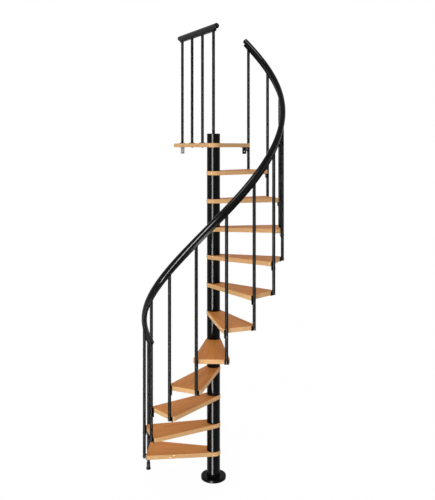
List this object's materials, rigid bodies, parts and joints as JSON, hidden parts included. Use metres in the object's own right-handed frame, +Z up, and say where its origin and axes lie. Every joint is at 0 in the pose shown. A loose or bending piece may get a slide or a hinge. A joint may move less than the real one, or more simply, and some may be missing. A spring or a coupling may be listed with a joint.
{
  "type": "spiral staircase",
  "caption": "Compact spiral staircase with wedge-shaped wooden treads on a black steel column, slim tube balusters, a helical handrail and a top landing with its own rail.",
  "frame": {"origin": "centre of the column on the floor, at the underside of the base plate", "axes": "+Z up along the column; +X to the right and +Y away from a viewer who faces the front of the flight; the flight climbs anticlockwise seen from above"},
  "size_m": [1.178, 1.3123, 3.748],
  "materials": {
    "black_steel": "satin black powder coat",
    "bare_steel": "plain steel tube",
    "zinc_steel": "dull zinc plate",
    "beech_wood": "satin clear lacquer",
    "black_rail": "semi-gloss black",
    "black_plastic": "matt black"
  },
  "bodies": {
    "root": {"base_plate": "black_steel", "base_cover": "black_steel", "central_pole": "bare_steel", "column_spacers": "black_steel", "column_cap": "black_plastic", "tread_01": "beech_wood", "tread_02": "beech_wood", "tread_03": "beech_wood", "tread_04": "beech_wood", "tread_05": "beech_wood", "tread_06": "beech_wood", "tread_07": "beech_wood", "tread_08": "beech_wood", "tread_09": "beech_wood", "tread_10": "beech_wood", "tread_11": "beech_wood", "landing": "beech_wood", "start_baluster": "black_steel", "adjustable_foot": "black_plastic", "baluster_01": "black_steel", "baluster_02": "black_steel", "baluster_03": "black_steel", "baluster_04": "black_steel", "baluster_05": "black_steel", "baluster_06": "black_steel", "baluster_07": "black_steel", "baluster_08": "black_steel", "baluster_09": "black_steel", "baluster_10": "black_steel", "baluster_11": "black_steel", "baluster_plugs": "black_plastic", "baluster_shoes": "black_steel", "baluster_hangers": "black_steel", "handrail": "black_rail", "handrail_strip": "black_steel", "handrail_caps": "black_plastic", "strip_plugs": "black_plastic", "landing_handrail": "black_rail", "landing_handrail_strip": "black_steel", "landing_balusters": "black_steel", "baluster_rosettes": "black_plastic", "floor_bracket_right": "black_steel", "floor_bracket_left": "zinc_steel"}
  },
  "joints": []
}
